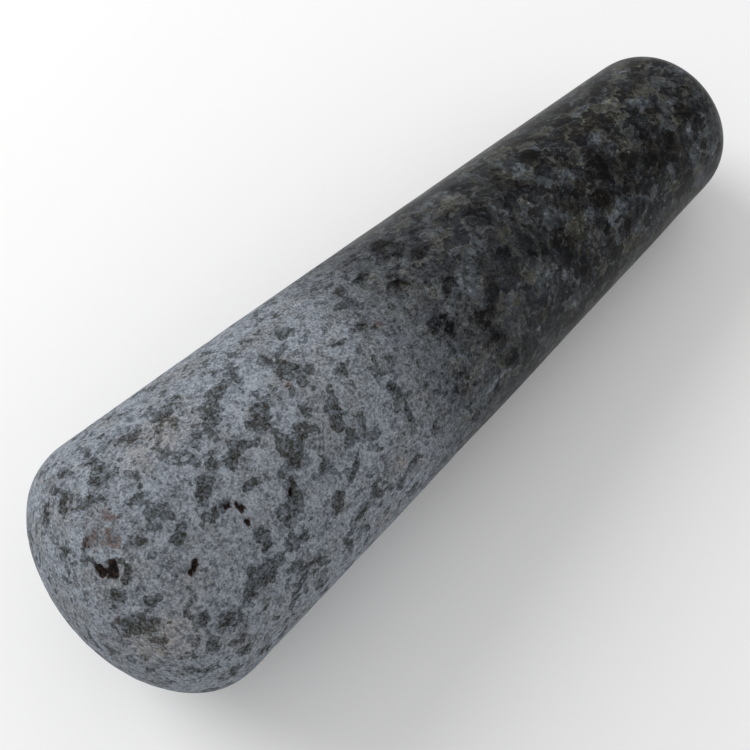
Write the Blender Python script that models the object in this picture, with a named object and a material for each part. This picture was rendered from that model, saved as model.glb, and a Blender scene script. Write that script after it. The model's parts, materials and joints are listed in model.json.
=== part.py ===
"""Granite pestle, the hand stone of a mortar: one piece of rock, ground to shape.

Metres, +Z up. The stone lies on its side on the ground plane, as it settles by
itself: grinding head towards -X, handle towards +X, and the middle of its box
above the origin.
"""

import math

import bmesh
import bpy
import numpy as np
from mathutils import Matrix, Vector

# Driving dimensions, along and across the stone's own axis.
LENGTH = 0.156  # head tip to tail tip
HEAD_RADIUS = 0.0242  # the flank's taper, carried on to the head tip
TAIL_RADIUS = 0.01567  # the flank's taper, carried on to the tail tip
HEAD_DOME = 0.0159  # depth of the rounded grinding end
TAIL_DOME = 0.0095  # depth of the rounded tail

# Facets of the turned surface. The flank is one ring of long flat strips, and the
# stone lies still on one of them.
SIDES = 40
HEAD_RINGS = 10
TAIL_RINGS = 8
POLE_MERGE = 1e-6  # closes the two poles, where the profile meets the axis
SMOOTH_UP_TO = math.radians(40)

# Average look of the stone, before its grain is added.
GRANITE_COLOUR = (0.125, 0.135, 0.15, 1.0)
GRANITE_ROUGHNESS = 0.6


def flank(x):
    """Radius of the straight tapered side at a distance x from the head tip."""
    return HEAD_RADIUS + (TAIL_RADIUS - HEAD_RADIUS) * x / LENGTH


def dome(depth, full_depth):
    """Quarter ellipse: 0 at the tip, 1 from full_depth on."""
    left = 1 - np.clip(depth / full_depth, 0, 1)
    return np.sqrt(1 - left * left)


def radius(x):
    """Turned profile of the whole stone."""
    return flank(x) * dome(x, HEAD_DOME) * dome(LENGTH - x, TAIL_DOME)


def stations():
    """Ring positions from tip to tip, close together where the ends curve most."""
    head = HEAD_DOME * (1 - np.cos(np.linspace(0, math.pi / 2, HEAD_RINGS + 1)))
    tail = LENGTH - TAIL_DOME * (1 - np.cos(np.linspace(math.pi / 2, 0, TAIL_RINGS + 1)))
    return np.concatenate([head, tail])


def resting_tilt():
    """Angle by which the tail sits lower, with one strip of the flank flat on the ground."""
    to_strip = math.cos(math.pi / SIDES)
    return math.atan(to_strip * (HEAD_RADIUS - TAIL_RADIUS) / LENGTH)


def turned_solid(name):
    """Spins the profile about X, with one strip of facets facing straight down."""
    bm = bmesh.new()
    half_step = Matrix.Rotation(math.pi / SIDES, 4, "X")
    ring_at = [half_step @ Vector((x, 0, -radius(x))) for x in stations()]
    points = [bm.verts.new(p) for p in ring_at]
    edges = [bm.edges.new(pair) for pair in zip(points, points[1:])]
    bmesh.ops.spin(
        bm,
        geom=points + edges,
        cent=(0, 0, 0),
        axis=(1, 0, 0),
        angle=2 * math.pi,
        steps=SIDES,
        use_merge=True,
    )
    bmesh.ops.remove_doubles(bm, verts=bm.verts[:], dist=POLE_MERGE)
    bmesh.ops.recalc_face_normals(bm, faces=bm.faces[:])
    mesh = bpy.data.meshes.new(name)
    bm.to_mesh(mesh)
    bm.free()
    return mesh


def lay_down(mesh):
    """Turns the stone to its resting tilt and stands its box on the origin."""
    mesh.transform(Matrix.Rotation(resting_tilt(), 4, "Y"))
    corners = np.array([v.co for v in mesh.vertices])
    low, high = corners.min(axis=0), corners.max(axis=0)
    middle = (low + high) / 2
    mesh.transform(Matrix.Translation((-middle[0], -middle[1], -low[2])))


def granite():
    material = bpy.data.materials.new("granite")
    material.use_nodes = True
    shader = material.node_tree.nodes["Principled BSDF"]
    shader.inputs["Base Color"].default_value = GRANITE_COLOUR
    shader.inputs["Roughness"].default_value = GRANITE_ROUGHNESS
    shader.inputs["Metallic"].default_value = 0.0
    return material


def pestle():
    """The whole object: one stone, coarse at the head and polished at the handle."""
    mesh = turned_solid("pestle")
    lay_down(mesh)
    mesh.materials.append(granite())
    mesh.shade_smooth()
    mesh.set_sharp_from_angle(angle=SMOOTH_UP_TO)
    stone = bpy.data.objects.new("pestle", mesh)
    bpy.context.scene.collection.objects.link(stone)


def main():
    for thing in list(bpy.data.objects):
        bpy.data.objects.remove(thing, do_unlink=True)
    pestle()


main()
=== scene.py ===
"""Looks of the granite pestle: the ground stone, its pits, grain and polish.

Sizes are in metres unless a name says mm. Places on the stone are given by the
distance from the head tip along its axis, in mm, and the angle round it, in degrees
from straight up, positive towards +Y.
"""

import json
import math
import random
from types import SimpleNamespace
import bpy
import numpy as np
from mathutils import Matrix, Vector
from mathutils.noise import noise_vector, seed_set


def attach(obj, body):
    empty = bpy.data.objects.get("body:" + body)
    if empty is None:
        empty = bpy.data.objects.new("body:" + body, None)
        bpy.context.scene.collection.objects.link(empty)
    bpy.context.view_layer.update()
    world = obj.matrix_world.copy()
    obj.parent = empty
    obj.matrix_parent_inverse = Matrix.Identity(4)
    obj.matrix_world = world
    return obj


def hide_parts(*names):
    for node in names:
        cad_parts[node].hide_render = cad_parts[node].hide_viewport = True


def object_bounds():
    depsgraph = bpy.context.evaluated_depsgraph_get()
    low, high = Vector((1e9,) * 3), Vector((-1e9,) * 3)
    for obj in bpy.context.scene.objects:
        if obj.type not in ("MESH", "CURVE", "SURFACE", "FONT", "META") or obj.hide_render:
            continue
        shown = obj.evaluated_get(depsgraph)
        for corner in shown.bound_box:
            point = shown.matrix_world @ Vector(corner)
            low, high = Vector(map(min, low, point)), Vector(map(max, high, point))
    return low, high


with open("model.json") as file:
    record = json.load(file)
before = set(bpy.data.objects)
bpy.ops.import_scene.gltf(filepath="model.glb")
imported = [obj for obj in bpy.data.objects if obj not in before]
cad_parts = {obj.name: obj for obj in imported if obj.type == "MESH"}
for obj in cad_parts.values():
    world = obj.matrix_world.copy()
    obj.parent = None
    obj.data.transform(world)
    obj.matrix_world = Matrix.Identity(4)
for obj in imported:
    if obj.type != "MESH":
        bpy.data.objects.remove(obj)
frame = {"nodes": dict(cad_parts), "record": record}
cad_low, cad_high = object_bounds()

MM = 0.001

# The stone's turned profile, along and across its own axis.
LENGTH = 0.156
HEAD_RADIUS = 0.0240
TAIL_RADIUS = 0.01537
BARREL = 0.00033  # how far the flank swells past its straight taper, halfway
HEAD_DOME = 0.0159
TAIL_DOME = 0.0095

# Mesh density before it is subdivided.
SIDES = 64
RING_STEP = 0.0020
TIP_RING = 0.0003
PROFILE_STEPS = 400  # points at which each part of the profile is measured
FINE_LEVELS = 2

# Unevenness of the surface: the size of its lumps, and how far they move the surface.
WAVE_SIZE, WAVE_HEIGHT = 0.016, 0.00020
DAB_SIZE, DAB_HEIGHT = 0.0030, 0.00016
PIT_DEPTH = 0.0007  # of a mark of full depth
PIT_SPREAD = 1.25  # how much wider the hollow is than the dark mark in it

# The tool dabs are full on the ground head and fade to a trace on the handle.
DABS_END_MM, DABS_FADE_MM, DABS_TRACE = 72, 14, 0.12

# Camera.
VIEW_AZIMUTH = -45.2418
VIEW_ELEVATION = 63.4915
VIEW_DISTANCE = 0.178455
VIEW_AIM = Vector((-0.012564, -0.000101, 0.018626))
LENS_MM = 48.0
SENSOR_MM = 36.0

# Studio.
FLOOR_WIDTH = 6.0
FLOOR_COLOUR = (0.92, 0.92, 0.92)
SKY_STRENGTH = 0.69
LAMPS = (  # name, place, width, power
    ("key", (-0.25, 0.80, 0.62), 0.7, 6.3),
    ("fill", (0.15, -0.9, 0.9), 0.8, 0.25),
)

# An oval mark has faded to nothing at the square root of this many half sizes.
MARK_REACH = 2.2
# Ovals are pulled out of shape by this much, in lumps of these two sizes.
WOBBLE_MM = 1.1
PIT_WOBBLE_MM = 0.25
WOBBLE_SIZE = 0.0026
RAGGED_SIZE = 0.0010
WOBBLE_SEED = 3
LEAST_ACROSS_MM = 3  # keeps a mark near a tip from being stretched round it

# Marks are listed between these two angles, and scattered beyond them.
PLACED_FROM, PLACED_TO = -112.0, 74.0

# Dark grain clusters on the ground head: along mm, angle, half sizes mm, turn, amount.
DARK = [
    (24.0, -50, 2.6, 2.1, 0, 1.0), (21.0, -53, 1.6, 1.3, 0, 0.8), (15.6, -54, 1.7, 1.1, 30, 1.0),
    (12.6, -60, 1.1, 1.0, 0, 0.9), (17.3, -58, 1.2, 0.9, 0, 0.8), (28.6, -60, 2.4, 0.5, -35, 1.0),
    (31.8, -66, 1.6, 0.5, -25, 0.9), (21.6, -64, 1.1, 0.5, 0, 0.9), (17.0, -64, 1.6, 0.8, 0, 0.7),
    (15.8, -73, 1.2, 1.0, 0, 1.0), (26.0, -76, 1.2, 0.8, 20, 1.0), (31.6, -79, 1.6, 1.8, 0, 0.7),
    (37.8, -73, 0.9, 1.6, 0, 0.9), (31.2, -52, 1.4, 1.0, 0, 0.8), (32.6, -40, 2.3, 1.8, 0, 1.0),
    (35.3, -33, 1.4, 0.8, 25, 1.0), (27.0, -40, 0.7, 1.4, 0, 0.9), (25.0, -38, 1.0, 0.7, 0, 0.7),
    (37.6, -26, 2.0, 1.6, 0, 1.0), (38.0, -20, 1.0, 1.6, 0, 0.7), (25.6, -22, 1.2, 0.9, 20, 1.0),
    (30.4, -22, 2.0, 0.8, -15, 1.0), (26.0, -11, 2.6, 1.2, 15, 1.0), (28.6, -7, 1.4, 0.9, 0, 0.9),
    (32.0, -10, 2.3, 1.2, 0, 1.0), (20.4, -8, 2.8, 1.7, 0, 0.75), (13.7, -11, 1.3, 1.1, 0, 0.9),
    (16.7, -12, 1.0, 1.0, 0, 0.9), (18.2, -18, 1.5, 1.0, 0, 0.85), (14.9, -6, 0.8, 1.3, 0, 0.8),
    (17.6, -6, 0.7, 0.4, 0, 0.9), (29.4, 5, 1.5, 1.5, 0, 1.0), (33.2, 7, 1.3, 2.0, 0, 0.9),
    (38.4, -3, 2.2, 1.6, 0, 0.95), (15.4, 15, 1.7, 1.3, 0, 1.0), (16.8, 25, 1.0, 2.3, 0, 1.0),
    (13.0, 12, 1.0, 1.4, 0, 0.75), (10.0, 22, 0.9, 2.2, 0, 0.95), (7.4, 30, 0.8, 1.4, 0, 0.9),
    (10.4, 29, 0.8, 1.3, 0, 0.9), (12.9, 31, 1.0, 1.0, 0, 0.9), (22.2, 23, 1.9, 1.2, 0, 0.8),
    (29.0, 23, 1.2, 1.2, 0, 0.75), (31.4, 27, 1.2, 1.2, 0, 0.7), (6.3, -36, 1.8, 1.6, 0, 0.85),
    (9.6, -30, 0.8, 1.2, 0, 0.9), (7.0, -22, 1.4, 1.0, 0, 0.95), (41.7, -67, 1.1, 0.9, 0, 1.0),
    (43.2, -63.5, 1.6, 0.7, 0, 1.0), (45.4, -69.5, 1.3, 0.6, 0, 0.9),
    (45.6, -61, 0.8, 1.4, 0, 0.9), (40.0, -51, 1.7, 1.0, 20, 1.0), (44.6, -46, 2.0, 0.8, 25, 1.0),
    (46.8, -35, 1.7, 1.5, 0, 1.0), (50.0, -37, 1.0, 1.4, 0, 0.7), (48.2, -21, 1.0, 1.6, 0, 1.0),
    (46.6, -26, 1.0, 1.0, 0, 0.8), (40.0, -22, 1.2, 0.8, 0, 0.95), (42.2, -21, 1.0, 0.9, 0, 0.9),
    (57.6, -32, 0.8, 1.6, 0, 0.9), (57.6, -46, 0.9, 1.8, 0, 0.85), (57.0, -23, 1.0, 1.2, 0, 0.75),
    (50.6, -70, 1.2, 1.4, 0, 0.7), (54.3, -66, 1.0, 1.2, 0, 0.7), (53.0, -84, 0.8, 2.0, 0, 0.9),
    (38.2, -7, 1.3, 1.2, 0, 0.8), (48.8, 0, 1.4, 1.4, 0, 0.8), (46.8, 4.5, 1.4, 1.2, 0, 0.9),
    (52.9, -11, 1.5, 0.9, 0, 0.85), (55.5, -1, 0.9, 0.7, 0, 1.0), (60.4, -0.5, 1.5, 0.8, 15, 0.9),
    (45.5, 12, 0.9, 2.2, 0, 0.9), (44.3, 21.5, 0.9, 1.2, 0, 0.7), (48.4, 12.5, 1.3, 0.9, 0, 0.75),
    (51.2, 20, 1.6, 0.9, 0, 0.85), (44.0, 27, 1.0, 0.9, 0, 0.7), (62.4, 9, 1.1, 1.7, 0, 0.85),
    (63.0, 20, 1.0, 1.4, 0, 0.7), (41.6, -37, 1.0, 0.8, 0, 0.6), (44.6, -14, 1.2, 1.0, 0, 0.75),
    (53.6, 10.5, 0.9, 0.6, 0, 0.7), (19.0, -85, 1.4, 1.4, 0, 0.6), (12.0, -80, 1.4, 1.6, 0, 0.6),
    (36.0, 12, 1.4, 0.7, 0, 0.7), (38.0, 16, 0.8, 0.8, 0, 0.6), (42.0, 0, 1.0, 0.8, 0, 0.6),
    (10.0, -18, 1.0, 0.9, 0, 0.7), (61.6, -7, 1.0, 0.8, 0, 0.7), (19.0, 8, 0.9, 1.6, 0, 0.7),
    (8.6, 2, 0.9, 1.0, 0, 0.5), (6.0, 8, 1.2, 1.2, 0, 0.6), (20.5, 30, 0.9, 1.6, 0, 0.6),
    (14.0, -48, 0.8, 0.6, 0, 0.8), (28.5, -66, 1.0, 0.8, 0, 0.6), (27.0, -70, 0.6, 0.6, 0, 0.8),
    (8.6, -69, 0.6, 0.6, 0, 0.9), (36.0, -58, 1.3, 0.8, 0, 0.6), (52.0, -56, 1.0, 1.3, 0, 0.5),
    (60.8, -57, 1.0, 0.8, 0, 0.6),
    # near-black crystals of the polished handle
    (67.5, 18, 1.4, 0.9, 15, 0.9), (70.4, 3, 1.6, 1.5, 0, 0.9), (76.8, -13, 1.6, 1.1, 15, 1.0),
    (79.2, -49, 1.6, 2.6, 0, 0.8), (80.3, -63, 2.0, 1.8, 0, 0.7), (78.8, -36, 2.4, 1.4, 0, 0.8),
    (82.0, -30, 1.6, 1.6, 0, 0.8), (92.8, -29, 0.8, 1.4, 0, 1.0), (96.0, -30, 0.8, 1.6, 0, 1.0),
    (100.0, -38, 2.6, 3.0, 0, 0.95), (102.0, -52, 2.4, 2.0, 0, 0.6),
    (91.6, 5.5, 2.0, 2.6, -20, 1.0), (75.6, 25, 1.8, 3.0, 0, 1.0), (97.8, 0, 1.8, 1.4, 20, 0.9),
    (102.4, 2, 1.8, 1.6, 0, 0.9), (108.7, 14, 1.8, 1.8, 0, 0.9), (101.5, 26, 2.0, 2.6, 0, 0.95),
    (81.6, 22, 1.0, 0.9, 0, 0.95), (84.6, 31, 1.2, 1.4, 0, 0.8), (78.0, 8, 2.0, 1.2, 0, 0.8),
    (89.0, -18, 1.6, 1.0, 0, 0.8), (96.6, -5, 2.0, 1.0, 25, 0.8), (112.4, -31, 2.1, 1.7, 0, 1.0),
    (120.4, -30, 1.9, 1.7, 0, 1.0), (116.4, -33, 1.1, 1.1, 0, 1.0),
    (117.0, -44, 1.0, 2.0, 0, 0.8), (126.8, -36, 2.0, 2.0, 0, 1.0),
    (129.0, -18, 2.0, 1.3, -20, 1.0), (118.4, -15, 4.6, 3.4, 0, 0.7),
    (107.0, -22, 3.0, 2.4, 0, 0.75), (112.6, -3, 2.2, 1.8, 0, 0.7),
    (128.0, 29, 1.5, 1.3, 0, 0.95), (134.0, 31, 2.2, 1.8, 0, 0.8),
    (129.6, 22.5, 0.7, 0.7, 0, 0.9), (140.6, 14, 2.0, 1.8, 0, 0.85),
    (143.8, 9.5, 1.0, 1.6, 0, 1.0), (136.0, 15, 2.2, 1.6, 0, 0.6), (133.4, -34, 2.0, 1.6, 0, 0.8),
    (140.6, -26, 2.2, 2.0, 0, 0.8), (120.0, -52, 2.2, 1.6, 0, 0.9),
    (116.0, -58, 2.0, 2.0, 0, 0.6), (128.4, -46, 1.4, 1.2, 0, 0.6), (112.0, 8, 1.4, 1.2, 0, 0.6),
    (94.4, 29, 1.6, 1.4, 0, 0.6), (87.0, 17, 1.6, 1.0, 0, 0.6), (104.0, -66, 2.6, 2.2, 0, 0.4),
    (114.0, 24, 0.9, 1.2, 0, 0.8), (109.6, -41, 1.8, 2.2, 0, 0.7), (72.0, -27, 1.6, 1.8, 0, 0.7),
    (70.0, -22, 1.4, 1.0, 0, 0.6), (69.0, -56, 1.8, 1.2, 0, 0.6), (66.0, -53, 1.4, 0.9, 0, 0.5),
    (148.0, 18, 1.2, 1.4, 0, 0.7), (146.0, -30, 1.4, 2.0, 0, 0.6),
]

# Pale, frosted or light-mineral patches, mostly on the handle.
PALE = [
    (80.0, -17, 2.6, 1.9, 0, 0.9), (94.5, -43, 4.6, 2.4, 10, 0.8), (104.5, 16, 2.2, 2.4, 0, 0.9),
    (114.2, -43, 3.0, 1.5, 0, 0.9), (122.0, -13, 1.6, 1.4, 0, 0.8),
    (121.0, -1.5, 1.2, 1.2, 0, 0.9), (138.0, -13, 2.6, 2.0, 0, 0.7),
    (139.6, -37, 1.5, 1.1, 0, 1.0), (86.6, -64, 1.8, 1.3, 20, 0.9),
    (98.8, -69.5, 1.2, 0.9, 0, 0.9), (124.4, -53, 1.1, 1.0, 0, 1.0),
    (121.2, -47, 0.8, 0.6, 0, 1.0), (73.4, -55, 1.0, 0.8, 0, 0.9), (69.6, 0, 0.6, 0.5, 0, 1.0),
    (101.5, -16, 1.6, 1.0, 0, 0.7), (94.5, 2, 1.5, 1.4, -30, 0.7), (104.5, 6, 1.4, 1.0, 0, 0.6),
    (107.0, -38, 2.6, 1.0, 35, 0.7), (93.0, 26, 1.4, 1.4, 0, 0.6), (81.2, 17, 1.0, 1.2, 20, 0.6),
    (102.4, 41, 1.8, 1.4, 0, 0.7), (128.4, -60, 2.0, 1.4, 0, 0.7), (131.0, -47, 1.6, 0.8, 0, 0.6),
    (131.0, 12, 1.6, 1.2, -30, 0.6), (134.4, 0, 1.6, 1.6, 0, 0.6), (85.0, -8, 2.2, 1.0, 0, 0.5),
    (90.4, 34, 2.2, 1.4, 0, 0.5), (109.6, -8, 1.4, 1.2, 0, 0.5), (125.6, 20, 2.0, 0.7, 40, 0.7),
    (74.5, -20, 1.6, 0.9, 0, 0.5), (76.6, 4, 1.4, 1.6, 0, 0.4), (144.0, -66, 1.6, 1.8, 0, 0.5),
    (141.0, -10, 1.4, 1.8, 0, 0.5), (57.0, 2, 2.6, 1.6, 0, 0.5), (53.0, 2, 2.6, 2.0, 0, 0.4),
    (64.0, -24, 2.4, 2.6, 0, 0.25), (12.0, -18, 1.2, 1.2, 0, 0.3), (34.0, -15, 2.2, 1.4, 0, 0.5),
    (35.0, -20, 1.8, 1.6, 0, 0.5), (22.0, -36, 3.0, 3.0, 0, 0.2), (36.6, 2, 1.8, 2.2, 0, 0.5),
    (41.6, 6, 2.4, 1.6, 0, 0.4),
]

# A curved scratch, and a thin pale bow farther up the handle.
SCRATCHES = [
    (74.6, -68.5, 2.0, 0.30, 13, 1.5), (78.0, -67.3, 1.8, 0.30, 4, 1.5),
    (80.8, -67.2, 1.4, 0.28, -6, 1.3), (118.0, -61.5, 2.3, 0.32, 28, 0.9),
    (121.8, -56.0, 2.0, 0.32, 19, 0.9), (124.9, -56.5, 1.6, 0.32, -31, 0.9),
    (126.8, -62.0, 1.6, 0.32, -48, 0.9),
]

# Brown and olive crystals.
BROWN = [
    (101.0, 14, 2.2, 1.6, 20, 1.0), (83.0, 8, 2.4, 1.1, 0, 0.8), (103.2, -35, 2.2, 1.6, 30, 0.9),
    (66.4, 8, 0.8, 1.6, 20, 1.0), (68.6, 12, 1.0, 1.8, 0, 0.9), (124.0, 10, 2.8, 1.3, 35, 1.0),
    (120.0, 12.5, 2.4, 1.5, 0, 0.8), (124.7, 26.5, 2.0, 1.2, 0, 0.8),
    (127.8, 2, 1.3, 1.0, 0, 0.9), (136.4, 7, 1.8, 1.3, 30, 0.9), (129.4, -27.5, 0.9, 0.6, 0, 1.0),
    (74.6, -49, 2.6, 1.4, 0, 0.7), (72.6, -54, 1.6, 0.9, 0, 0.8), (90.6, 24, 2.6, 2.2, 0, 0.6),
    (107.6, 12, 1.6, 1.2, 0, 0.6), (113.0, -34, 1.6, 1.6, 0, 0.5), (144.0, 22, 1.0, 1.8, 0, 0.7),
    (127.4, 17, 1.2, 0.9, 0, 0.6), (110.4, 33, 1.6, 1.2, 0, 0.6), (100.0, -6, 1.0, 1.2, 0, 0.5),
    (90.4, -10, 3.0, 1.0, 0, 0.4), (74.4, -36, 2.0, 1.0, 0, 0.5), (134.0, -14, 1.6, 1.6, 0, 0.4),
    (117.6, -70, 2.4, 2.0, 0, 0.4),
]

# Rusty stains and tan, weathered patches on the head.
RUST = [
    (11.2, -4, 1.1, 1.4, 0, 0.9), (9.2, 1.5, 1.4, 1.0, 20, 1.0), (13.1, 2, 0.7, 1.1, 0, 0.9),
    (44.4, -9, 1.3, 0.9, 0, 0.45), (44.8, -3, 1.5, 0.9, 0, 0.7), (62.6, -6, 1.0, 0.6, 0, 0.6),
    (5.6, -30, 1.3, 0.8, 0, 0.6), (26.2, -22.5, 0.7, 0.5, 0, 0.6), (17.0, -31, 1.3, 0.8, 0, 0.4),
    (26.9, -31, 0.8, 0.7, 0, 0.35), (18.6, -89, 1.2, 1.4, 0, 0.5),
    (34.4, -33.5, 1.0, 0.5, 0, 0.4), (7.0, -24, 0.7, 0.8, 0, 0.4), (7.6, -16, 0.6, 0.5, 0, 0.6),
]
TAN = [
    (8.6, -47, 3.6, 3.6, 0, 0.7), (25.6, 16, 3.6, 3.2, 0, 0.7), (52.2, -61, 1.0, 1.2, 0, 0.8),
    (11.0, -42, 2.4, 2.0, 0, 0.4), (21.6, 12, 3.0, 2.4, 0, 0.5), (15.4, -34, 3.0, 2.6, 0, 0.3),
    (30.6, 13, 3.0, 2.0, 0, 0.4), (48.0, -83, 3.0, 2.4, 0, 0.3),
]

# Pits where a grain has dropped out: along mm, angle, half sizes mm, turn, depth mm.
PITS = [
    (8.3, -13.2, 0.75, 0.80, 0, 0.85), (9.1, -11.6, 0.55, 0.45, 0, 0.6),
    (7.5, -9.2, 0.48, 0.95, 0, 0.6), (16.5, -31.3, 0.60, 0.40, 0, 0.6),
    (17.4, -29.8, 0.62, 0.38, 35, 0.7), (26.8, -31.2, 0.40, 0.58, 0, 0.5),
    (27.3, -25.6, 0.44, 0.62, 0, 0.7), (26.0, -22.6, 0.4, 0.3, 0, 0.35),
    (34.3, -34.6, 0.56, 0.30, 25, 0.4), (22.0, -104.0, 1.4, 1.0, 0, 0.7),
]

# Where no mark is placed: how many are scattered, from and to how far along in mm, the
# smallest and largest half size in mm, and the least amount.
SCATTERED = {
    "dark": ((95, 3, 66, 0.8, 2.6, 0.7), (60, 66, 153, 0.9, 3.0, 0.6)),
    "pale": ((14, 10, 66, 1.0, 3.0, 0.2), (40, 70, 152, 0.9, 2.8, 0.5)),
    "brown": ((26, 66, 152, 0.9, 2.4, 0.5),),
    "rust": ((8, 4, 60, 0.7, 1.4, 0.4),),
    "tan": ((6, 6, 56, 2.0, 3.6, 0.3),),
    "pit": ((6, 6, 60, 0.4, 0.8, 0.6),),
}
SCATTER_SEED = 11

# How sharply each family ends at its edge.
CRISP = {"dark": 1.1, "pale": 1.1, "brown": 1.3, "rust": 1.4, "tan": 1.1, "pit": 1.6}
SCRATCH_CRISP = 1.2
HOLLOW_CRISP = 1.4

# Noise shared by the patterns: the size of its lumps, detail and roughness.
NOISES = {
    "broad": (0.009, 2, 0.5),
    "lumps": (0.0028, 3, 0.6),
    "flecks": (0.0011, 2, 0.6),
    "specks": (0.00040, 2, 0.7),
    "drift": (0.0040, 2, 0.5),
    "tint": (0.0012, 2, 0.6),
}
NOISE_GAIN = 12.0  # brings Blender's noise, within about 0.1 of 0.5, to a spread of 1

# Crystals of the handle: their size, and their share in the tone.
CRYSTALS = ((0.0027, 0.50), (0.0013, 0.32), (0.0006, 0.18))
LARGE_CRYSTAL = 0.0027
SHOVE_SIZE, SHOVE = 0.0014, 0.0036  # how crystals are pushed out of their straight sides
# Spacing of the painted mica glints, pale spots in the base colour.
PAINTED_GLINT_SPACING = 0.0021

# How frosted the surface is, by mm from the head tip: ground head to clear polish.
FROST = ((50, 1.0), (57, 0.82), (62, 0.54), (70, 0.22), (80, 0.09), (95, 0.03), (110, 0.0))
HAZE_END_MM = 110.0

# The colours that each tone is seen in, 0 to 255, on the ground head and on the polish.
GROUND_TONES = (
    (0.00, (12, 10, 9)),
    (0.15, (38, 36, 34)),
    (0.25, (62, 63, 63)),
    (0.35, (85, 90, 94)),
    (0.45, (110, 116, 124)),
    (0.55, (136, 142, 151)),
    (0.70, (168, 174, 182)),
)
POLISHED_TONES = (
    (0.00, (6, 6, 7)),
    (0.05, (12, 12, 13)),
    (0.10, (23, 23, 25)),
    (0.16, (38, 39, 41)),
    (0.22, (54, 56, 57)),
    (0.30, (78, 82, 84)),
    (0.45, (120, 126, 130)),
)
# Painted shade of the pit hollows, near black with lighter brown specks, and the pale colour of
# the painted mica glints.
SHADED_PIT_FLOOR, PIT_LIGHTER_SPECKS, PAINTED_GLINT = (16, 12, 10), (62, 47, 38), (150, 155, 160)
LIGHT_ON_STONE = 1.19  # how brightly the studio lights the top of the stone

# Tints that the stone's colour is multiplied by.
WARM = (1.06, 1.0, 0.92, 1.0)
OLIVE = (1.11, 1.0, 0.82, 1.0)
SLATE = (0.95, 0.99, 1.10, 1.0)
WEATHERED = (1.22, 1.0, 0.80, 1.0)
RUSTY = (0.60, 0.43, 0.38, 1.0)
# Painted shade that darkens the rim round each pit.
PIT_RIM_SHADE = (0.42, 0.36, 0.32, 1.0)

# Gloss and grain of the finish.
POLISHED_ROUGHNESS, FROST_ROUGHNESS = 0.39, 0.53
SHINE = 0.05
BUMP_STRENGTH, BUMP_HEIGHT = 0.6, 0.00005


seed_set(WOBBLE_SEED)  # unseeded, Blender starts this noise from the clock


# ---------------------------------------------------------------- the turned stone


def radius(along):
    """Radius of the stone at a distance from the head tip."""
    part_way = along / LENGTH
    flank = HEAD_RADIUS + (TAIL_RADIUS - HEAD_RADIUS) * part_way
    flank += 4 * BARREL * part_way * (1 - part_way)
    for depth, full in ((along, HEAD_DOME), (LENGTH - along, TAIL_DOME)):
        left = 1 - np.clip(depth / full, 0, 1)
        flank = flank * np.sqrt(1 - left * left)
    return flank


def ring_places():
    """Distances of the rings, evenly spaced over the surface from tip to tip."""
    turn = np.linspace(0, math.pi / 2, PROFILE_STEPS)
    head = HEAD_DOME * (1 - np.cos(turn))
    flank = np.linspace(HEAD_DOME, LENGTH - TAIL_DOME, PROFILE_STEPS)
    tail = LENGTH - TAIL_DOME * (1 - np.cos(turn[::-1]))
    fine = np.unique(np.concatenate([head, flank, tail]))
    travelled = np.concatenate([[0], np.cumsum(np.hypot(np.diff(fine), np.diff(radius(fine))))])
    rings = round(travelled[-1] / RING_STEP)
    return np.interp(np.linspace(0, travelled[-1], rings + 1), travelled, fine)


def axis_of_the_cad_stone():
    """Head tip, and unit vectors along the stone, up across it, and sideways."""
    grip = frame["record"]["mounts"][0]
    along = Vector(grip["axis"]).normalized()
    inside = Vector(grip["pos_m"])
    back_to_tip = min((v.co - inside).dot(along) for v in frame["nodes"]["pestle"].data.vertices)
    head = inside + along * back_to_tip
    side = Vector((0, 1, 0))
    return head, along, along.cross(side), side


def tip_ring(name):
    """The small fan that closes the head tip, facing along X, its rim selected."""
    bpy.ops.object.select_all(action="DESELECT")
    bpy.ops.mesh.primitive_circle_add(
        vertices=SIDES, radius=TIP_RING, fill_type="TRIFAN", rotation=(0, math.pi / 2, 0)
    )
    stone = bpy.context.object
    stone.name = stone.data.name = name
    bpy.ops.object.transform_apply(rotation=True)
    for v in stone.data.vertices:
        v.select = v.co.length > TIP_RING / 2
    for e in stone.data.edges:
        e.select = all(stone.data.vertices[i].select for i in e.vertices)
    for f in stone.data.polygons:
        f.select = False
    return stone


def turned_stone(name, head, tilt):
    """A ring drawn out along the axis and sized at every step, then made fine."""
    stone = tip_ring(name)
    bpy.ops.object.mode_set(mode="EDIT")
    bpy.ops.mesh.select_mode(type="VERT")
    places = ring_places()
    wide = TIP_RING
    for before, here in zip(places[:-2], places[1:-1]):
        bpy.ops.mesh.extrude_region_move(
            TRANSFORM_OT_translate={"value": (float(here - before), 0, 0)}
        )
        wanted = float(radius(here))
        grow = wanted / wide
        bpy.ops.transform.resize(
            value=(1, grow, grow), center_override=(float(here), 0, 0)
        )
        wide = wanted
    bpy.ops.mesh.extrude_region_move(
        TRANSFORM_OT_translate={"value": (float(places[-1] - places[-2]), 0, 0)}
    )
    bpy.ops.mesh.merge(type="CENTER")
    bpy.ops.mesh.select_all(action="SELECT")
    bpy.ops.mesh.normals_make_consistent(inside=False)
    bpy.ops.object.mode_set(mode="OBJECT")
    stone.rotation_euler = (0, tilt, 0)
    stone.location = head
    bpy.ops.object.transform_apply(location=True, rotation=True, scale=True)
    fine = stone.modifiers.new("fine", "SUBSURF")
    fine.levels = fine.render_levels = FINE_LEVELS
    bpy.ops.object.modifier_apply(modifier=fine.name)
    return stone


# ------------------------------------------------------- marks placed on the stone


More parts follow.
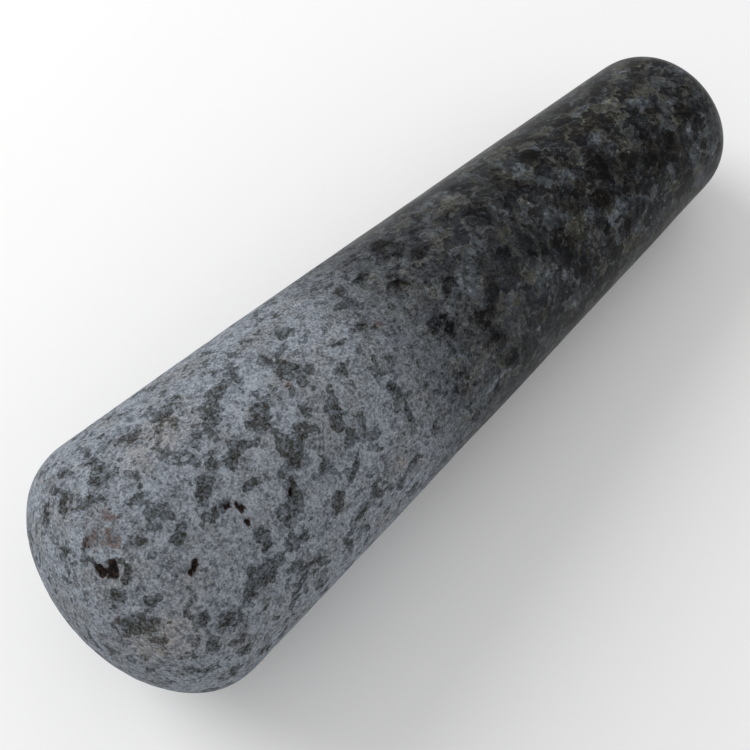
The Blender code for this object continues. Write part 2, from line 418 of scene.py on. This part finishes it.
def places_on(stone, head, along, up, side, wobble):
    """Distance along, angle round and distance across of every vertex, wobbled.

    In mm and degrees. The wobble, in mm, is what makes the ovals ragged.
    """
    flat = np.empty(len(stone.data.vertices) * 3)
    stone.data.vertices.foreach_get("co", flat)
    from_head = flat.reshape(-1, 3) - np.array(head)
    far = from_head @ np.array(along) / MM
    high = from_head @ np.array(up) / MM
    wide = from_head @ np.array(side) / MM
    across = np.hypot(high, wide)
    push = np.array([
        noise_vector(Vector(p) / WOBBLE_SIZE) + noise_vector(Vector(p) / RAGGED_SIZE) * 0.5
        for p in from_head
    ])
    far = far + push[:, 0] * wobble
    turned = push[:, 1] * wobble / np.maximum(across, LEAST_ACROSS_MM)
    return far, np.degrees(np.arctan2(wide, high) + turned), across


def marked(spots, marks, crisp):
    """Strength of a family of oval marks at every vertex: full inside, 0 well outside."""
    far, angle, across = spots
    strength = np.zeros(len(far))
    for at, turn, long_half, wide_half, lean, amount in marks:
        near = np.abs(far - at) < 3 * max(long_half, wide_half)
        d_far = far[near] - at
        d_round = (angle[near] - turn + 180) % 360 - 180
        d_arc = np.radians(d_round) * np.maximum(across[near], LEAST_ACROSS_MM)
        c, s = math.cos(math.radians(lean)), math.sin(math.radians(lean))
        u = (d_far * c + d_arc * s) / long_half
        v = (d_arc * c - d_far * s) / wide_half
        level = np.clip(crisp - crisp * (u * u + v * v) / MARK_REACH, 0, 1)
        strength[near] = np.maximum(strength[near], amount * level)
    return strength


def scattered(rng, count, near_mm, far_mm, small, large, least):
    """More marks of one family, mostly small, where none is listed."""
    marks = []
    for _ in range(count):
        size = small + (large - small) * rng.random() ** 2
        marks.append((
            rng.uniform(near_mm, far_mm),
            rng.uniform(PLACED_TO, PLACED_FROM + 360),
            size * rng.uniform(0.7, 1.4),
            size * rng.uniform(0.6, 1.1),
            rng.uniform(-40, 40),
            rng.uniform(least, 1.0),
        ))
    return marks


def all_marks(spots, pit_spots):
    """Every family's strength at every vertex, placed and scattered marks together."""
    placed = {
        "dark": DARK, "pale": PALE, "brown": BROWN, "rust": RUST, "tan": TAN,
        "pit": [(*pit[:5], 1.0) for pit in PITS],
    }
    rng = random.Random(SCATTER_SEED)
    levels = {}
    for name, marks in placed.items():
        for lot in SCATTERED[name]:
            marks = marks + scattered(rng, *lot)
        levels[name] = marked(pit_spots if name in ("pit", "rust") else spots, marks, CRISP[name])
    levels["pale"] = np.maximum(levels["pale"], marked(pit_spots, SCRATCHES, SCRATCH_CRISP))
    return levels


def put_attribute(mesh, name, values):
    mesh.attributes.new(name, "FLOAT", "POINT").data.foreach_set("value", values)


def press(stone, name, strength, texture=None, group=""):
    """Moves the surface along its normals, by a cloud texture or a weight, and applies it."""
    push = stone.modifiers.new(name, "DISPLACE")
    push.strength = strength
    push.mid_level = 0.5 if texture else 0.0
    if texture:
        push.texture = texture
        push.texture_coords = "LOCAL"
    push.vertex_group = group
    bpy.ops.object.modifier_apply(modifier=name)


def clouds(name, size, depth):
    texture = bpy.data.textures.new(name, "CLOUDS")
    texture.noise_scale = size
    texture.noise_depth = depth
    return texture


def weigh(stone, name, weights):
    group = stone.vertex_groups.new(name=name)
    for i in np.flatnonzero(weights > 0.001):
        group.add([int(i)], float(weights[i]), "REPLACE")


def wear(stone, spots, pit_spots):
    """Shallow waves all over, tool dabs on the ground part, and the hollows of the pits."""
    weigh(stone, "ground", np.clip((DABS_END_MM - spots[0]) / DABS_FADE_MM, DABS_TRACE, 1))
    hollows = [
        (at, turn, long_half * PIT_SPREAD, wide_half * PIT_SPREAD, lean, depth)
        for at, turn, long_half, wide_half, lean, depth in PITS
    ]
    weigh(stone, "pits", marked(pit_spots, hollows, HOLLOW_CRISP))
    press(stone, "waves", WAVE_HEIGHT, clouds("waves", WAVE_SIZE, 1))
    press(stone, "dabs", DAB_HEIGHT, clouds("dabs", DAB_SIZE, 3), "ground")
    press(stone, "hollows", -PIT_DEPTH, None, "pits")
    stone.vertex_groups.clear()


# -------------------------------------------------------------------- the granite


class Number:
    """A number that varies over the stone. A sum on it adds Math nodes."""

    def __init__(self, recipe, socket):
        self.recipe, self.socket = recipe, socket

    def maths(self, operation, *values):
        return self.recipe.node("Math", {"operation": operation}, dict(enumerate(values)))

    def __add__(self, other):
        return self.maths("ADD", self, other)

    __radd__ = __add__

    def __sub__(self, other):
        return self.maths("SUBTRACT", self, other)

    def __rsub__(self, other):
        return self.maths("SUBTRACT", other, self)

    def __mul__(self, other):
        return self.maths("MULTIPLY", self, other)

    __rmul__ = __mul__

    def __truediv__(self, other):
        return self.maths("DIVIDE", self, other)

    def over(self, floor):
        return self.maths("MAXIMUM", self, floor)

    def under(self, ceiling):
        return self.maths("MINIMUM", self, ceiling)


class Recipe:
    """The nodes of one material."""

    def __init__(self, name):
        self.material = bpy.data.materials.new(name)
        self.material.use_nodes = True
        self.tree = self.material.node_tree
        self.shader = self.tree.nodes["Principled BSDF"]

    def put(self, node, values):
        for key, value in values.items():
            if isinstance(value, Number):
                self.tree.links.new(value.socket, node.inputs[key])
            else:
                node.inputs[key].default_value = value

    def node(self, kind, settings, values, out=0):
        """Any node: its type, its settings, what its sockets take, and which output."""
        node = self.tree.nodes.new("ShaderNode" + kind)
        for key, value in settings.items():
            if key == "stops":
                ramp = node.color_ramp.elements
                while len(ramp) < len(value):
                    ramp.new(0.5)
                for stop, (place, _) in zip(ramp, value):
                    stop.position = place
                for stop, (_, colour) in zip(ramp, value):
                    stop.color = colour
            else:
                setattr(node, key, value)
        self.put(node, values)
        return Number(self, node.outputs[out])

    def noise(self, where, size, detail, rough, shift):
        """Cloudy noise about 0, its largest lumps a given size, most of it within -2 to 2."""
        values = {
            "Vector": where, "W": shift, "Scale": 1 / size, "Detail": detail, "Roughness": rough,
        }
        raw = self.node("TexNoise", {"noise_dimensions": "4D"}, values, "Fac")
        return (raw - 0.5) * NOISE_GAIN

    def crystals(self, where, size, feature="F1", out="Color"):
        values = {"Vector": where, "Scale": 1 / size, "Randomness": 1.0}
        return self.node("TexVoronoi", {"feature": feature}, values, out)

    def vector(self, operation, a, b, out=0):
        b_socket = "Scale" if operation == "SCALE" else 1
        return self.node("VectorMath", {"operation": operation}, {0: a, b_socket: b}, out)

    def attribute(self, name):
        return self.node("Attribute", {"attribute_name": name}, {}, "Fac")

    def step(self, value, low, high):
        """From 0 below low to 1 above high, smoothly."""
        values = {"Value": value, "From Min": low, "From Max": high}
        settings = {"interpolation_type": "SMOOTHSTEP", "clamp": True}
        return self.node("MapRange", settings, values, 0)

    def ramp(self, value, stops):
        return self.node("ValToRGB", {"stops": stops}, {"Fac": value})

    def part(self, colour, index):
        """The red, green or blue of a colour, as a number."""
        return self.node("SeparateColor", {"mode": "RGB"}, {0: colour}, index)

    def blend(self, factor, a, b, way="MIX"):
        """Between two colours, or from a colour to its product with another."""
        settings = {"data_type": "RGBA", "blend_type": way}
        return self.node("Mix", settings, {0: factor, 6: a, 7: b}, 2)

    def tinted(self, colour, factor, tint):
        return self.blend(factor, colour, tint, "MULTIPLY")


def seen(red, green, blue):
    """The surface colour that looks like this under the studio light."""
    linear = []
    for value in (red, green, blue):
        v = value / 255
        v = v / 12.92 if v <= 0.04045 else ((v + 0.055) / 1.055) ** 2.4
        linear.append(v / LIGHT_ON_STONE)
    return (*linear, 1.0)


def tones(table):
    return [(place, seen(*colour)) for place, colour in table]


def ground_colour(r, g):
    """Ground head: its colour, and how far each spot is in a dark cluster."""
    crowd = 0.246 + g.dark * 0.58 - g.pale * 0.2
    crowd = crowd + g.lumps * 0.20 + g.flecks * 0.14 + g.specks * 0.05
    cluster = r.step(crowd, 0.43, 0.52)
    tone = 0.590 + g.lumps * 0.016 + g.flecks * 0.028 + g.specks * 0.066 + g.broad * 0.008
    tone = tone - r.step(g.tint + g.drift * 0.8, -0.5, 0.3) * 0.060
    tone = tone + g.pale * 0.04 - cluster * (0.240 + g.tint * 0.02)
    colour = r.ramp(tone, tones(GROUND_TONES))
    warmth = r.step(g.drift * 0.6 - g.broad * 0.5 + g.tint * 0.4, -0.2, 1.4)
    return r.tinted(colour, warmth * 0.65, WARM), cluster


def polished_colour(r, g, place):
    """Handle: a mosaic of crystals, with thin light veins. Also where its darkest ones are."""
    shove = r.node("TexNoise", {"noise_dimensions": "3D"}, {
        "Vector": place, "Scale": 1 / SHOVE_SIZE, "Detail": 1.0, "Roughness": 0.5,
    }, "Color")
    shove = r.vector("SCALE", r.vector("SUBTRACT", shove, (0.5, 0.5, 0.5)), SHOVE)
    warped = r.vector("ADD", place, shove)
    mosaic = browns = blues = 0.0
    for size, share in CRYSTALS:
        grain = r.crystals(warped, size)
        mosaic = r.part(grain, 0) * share + mosaic
        browns = r.part(grain, 1) * share + browns
        blues = r.part(grain, 2) * share + blues
    edge = r.crystals(warped, LARGE_CRYSTAL, "DISTANCE_TO_EDGE", "Distance")
    vein = (1 - r.step(edge, 0.01, 0.13)) * r.step(g.drift + g.flecks * 0.5, -1.2, 0.8)
    deep = r.step(g.dark * 1.1 + g.lumps * 0.12 + g.flecks * 0.10, 0.40, 0.60)
    tone = 0.114 + r.step(mosaic, 0.25, 0.80) * 0.150 + g.lumps * 0.014 + g.flecks * 0.020
    tone = tone + g.specks * 0.014 + vein * 0.065 + g.broad * 0.006
    tone = tone + g.pale * 0.11 * (0.8 + g.flecks * 0.25) - deep * 0.080
    colour = r.ramp(tone, tones(POLISHED_TONES))
    olive = browns + g.brown * 0.5 - g.pale * 0.2 + g.broad * 0.04 + g.tint * 0.03
    colour = r.tinted(colour, r.step(olive, 0.48, 0.66), OLIVE)
    slate = blues - g.brown * 0.3 + g.pale * 0.1 - g.tint * 0.03
    return r.tinted(colour, r.step(slate, 0.50, 0.68), SLATE), deep


def frost_at(r, g, far_mm):
    """Where the grinding ends: a ragged ring, with haze well into the handle."""
    ragged = far_mm + g.broad * 0.9 + g.lumps * 0.9 + g.flecks * 0.6
    stops = [(at / HAZE_END_MM, (level, level, level, 1)) for at, level in FROST]
    return r.part(r.ramp(ragged / HAZE_END_MM, stops), 0)


def haze_over(r, g, frost, deep):
    """The frost as it is seen: dappled at its end, and dark crystals showing through."""
    ending = r.step(frost, 0.02, 0.3)
    dapple = (g.flecks * 0.10 + g.specks * 0.04 + g.lumps * 0.09) * ending
    showing = deep * (1 - frost) * ending * 0.24
    return (frost + dapple - showing).over(0).under(1)


def weathered_with_pit_shade(r, g, colour):
    """The colour with its tan patches and rust stains, painted shade in and round the pits, and
    where the pit holes are.
    """
    worn = (g.tan * (0.8 + g.flecks * 0.3)).over(0).under(1)
    colour = r.tinted(colour, worn * 0.6, WEATHERED)
    fray = g.flecks * 0.22 + g.specks * 0.12
    stain = g.rust * 0.75 + (fray + g.tint * 0.12) * r.step(g.rust, 0.0, 0.3)
    colour = r.tinted(colour, r.step(stain, 0.35, 0.80) * 0.9, RUSTY)
    pit_shade_mask = g.pit + fray * r.step(g.pit, 0.0, 0.2)
    # Painted shade: a darker rim round each pit.
    colour = r.tinted(colour, r.step(pit_shade_mask, 0.15, 0.50) * 0.8, PIT_RIM_SHADE)
    # Painted shade: the pit holes are painted near black, with lighter brown specks.
    shaded_hole = r.step(pit_shade_mask, 0.44, 0.70)
    lighter_specks = r.step(g.specks * 0.6 + g.flecks * 0.4, 0.1, 1.6)
    inside = r.blend(lighter_specks, seen(*SHADED_PIT_FLOOR), seen(*PIT_LIGHTER_SPECKS))
    return r.blend(shaded_hole * 0.95, colour, inside), shaded_hole


def granite(head, along):
    r = Recipe("ground_and_polished_granite")
    place = r.node("TexCoord", {}, {}, "Object")
    from_head = r.vector("SUBTRACT", place, tuple(head))
    far_mm = r.vector("DOT_PRODUCT", from_head, tuple(along), "Value") / MM

    # The marks and the shared noises, as numbers over the stone.
    g = SimpleNamespace(**{name: r.attribute(name) for name in CRISP})
    for shift, (name, (size, detail, rough)) in enumerate(NOISES.items(), 1):
        setattr(g, name, r.noise(place, size, detail, rough, float(shift)))

    matte, cluster = ground_colour(r, g)
    polished, deep = polished_colour(r, g, place)
    frost = frost_at(r, g, far_mm)
    colour, shaded_hole = weathered_with_pit_shade(r, g, r.blend(haze_over(r, g, frost, deep), polished, matte))

    # Painted glints: pinpoint pale spots in the base colour stand in for the sparkle of mica.
    painted_glint_at = r.crystals(place, PAINTED_GLINT_SPACING, "F1", "Distance")
    painted_glint = (1 - r.step(painted_glint_at, 0.06, 0.14)) * r.step(g.drift, 0.8, 2.0)
    colour = r.blend(painted_glint * 0.6, colour, seen(*PAINTED_GLINT))

    rough = POLISHED_ROUGHNESS + frost * FROST_ROUGHNESS + g.flecks * 0.02 + shaded_hole * 0.1
    height = g.flecks * 0.3 + g.specks * 0.3 + g.lumps * 0.2 - cluster * 0.6
    height = height * (0.15 + frost)
    r.put(r.shader, {
        "Base Color": colour,
        "Roughness": rough.over(0.05).under(1),
        "Normal": r.node("Bump", {}, {
            "Strength": BUMP_STRENGTH, "Distance": BUMP_HEIGHT, "Height": height,
        }),
        "Specular IOR Level": SHINE,
    })
    return r.material


# ------------------------------------------------------------- floor, lights, camera


def plain_material(name, colour, roughness):
    material = bpy.data.materials.new(name)
    material.use_nodes = True
    shader = material.node_tree.nodes["Principled BSDF"]
    shader.inputs["Base Color"].default_value = (*colour, 1.0)
    shader.inputs["Roughness"].default_value = roughness
    shader.inputs["Specular IOR Level"].default_value = 0.1
    return material


def studio():
    bpy.ops.mesh.primitive_plane_add(size=FLOOR_WIDTH, location=(0, 0, 0))
    floor = bpy.context.object
    floor.name = "floor"
    floor.data.materials.append(plain_material("pale_floor", FLOOR_COLOUR, 0.9))
    world = bpy.data.worlds.new("studio")
    world.use_nodes = True
    sky = world.node_tree.nodes["Background"]
    sky.inputs["Color"].default_value = (1.0, 1.0, 1.0, 1.0)
    sky.inputs["Strength"].default_value = SKY_STRENGTH
    bpy.context.scene.world = world
    middle = (cad_low + cad_high) / 2
    for name, place, size, power in LAMPS:
        bpy.ops.object.light_add(type="AREA", location=place)
        lamp = bpy.context.object
        lamp.name = lamp.data.name = name
        lamp.data.shape = "DISK"
        lamp.data.size = size
        lamp.data.energy = power
        lamp.rotation_euler = (middle - lamp.location).to_track_quat("-Z", "Y").to_euler()
    bpy.context.scene.view_settings.view_transform = "Standard"


def camera():
    a, e = math.radians(VIEW_AZIMUTH), math.radians(VIEW_ELEVATION)
    back = Vector((math.sin(a) * math.cos(e), -math.cos(a) * math.cos(e), math.sin(e)))
    bpy.ops.object.camera_add(location=VIEW_AIM + back * VIEW_DISTANCE)
    eye = bpy.context.object
    eye.rotation_euler = (math.radians(90 - VIEW_ELEVATION), 0, a)
    eye.data.lens = LENS_MM
    eye.data.sensor_width = SENSOR_MM
    eye.data.clip_start, eye.data.clip_end = 0.01, 10.0
    bpy.context.scene.camera = eye


# ------------------------------------------------------------------------ assembly


def set_on_floor(stone):
    stone.location.z = -min(v.co.z for v in stone.data.vertices)
    bpy.ops.object.transform_apply(location=True)


head, along, up, side = axis_of_the_cad_stone()
stone = turned_stone("pestle_stone", head, math.atan2(-along.z, along.x))
spots = places_on(stone, head, along, up, side, WOBBLE_MM)
pit_spots = places_on(stone, head, along, up, side, PIT_WOBBLE_MM)
wear(stone, spots, pit_spots)
set_on_floor(stone)
for name, values in all_marks(spots, pit_spots).items():
    put_attribute(stone.data, name, values)
bpy.ops.object.shade_smooth()
stone.data.materials.append(granite(head, along))

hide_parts("pestle")
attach(stone, "root")

studio()
camera()
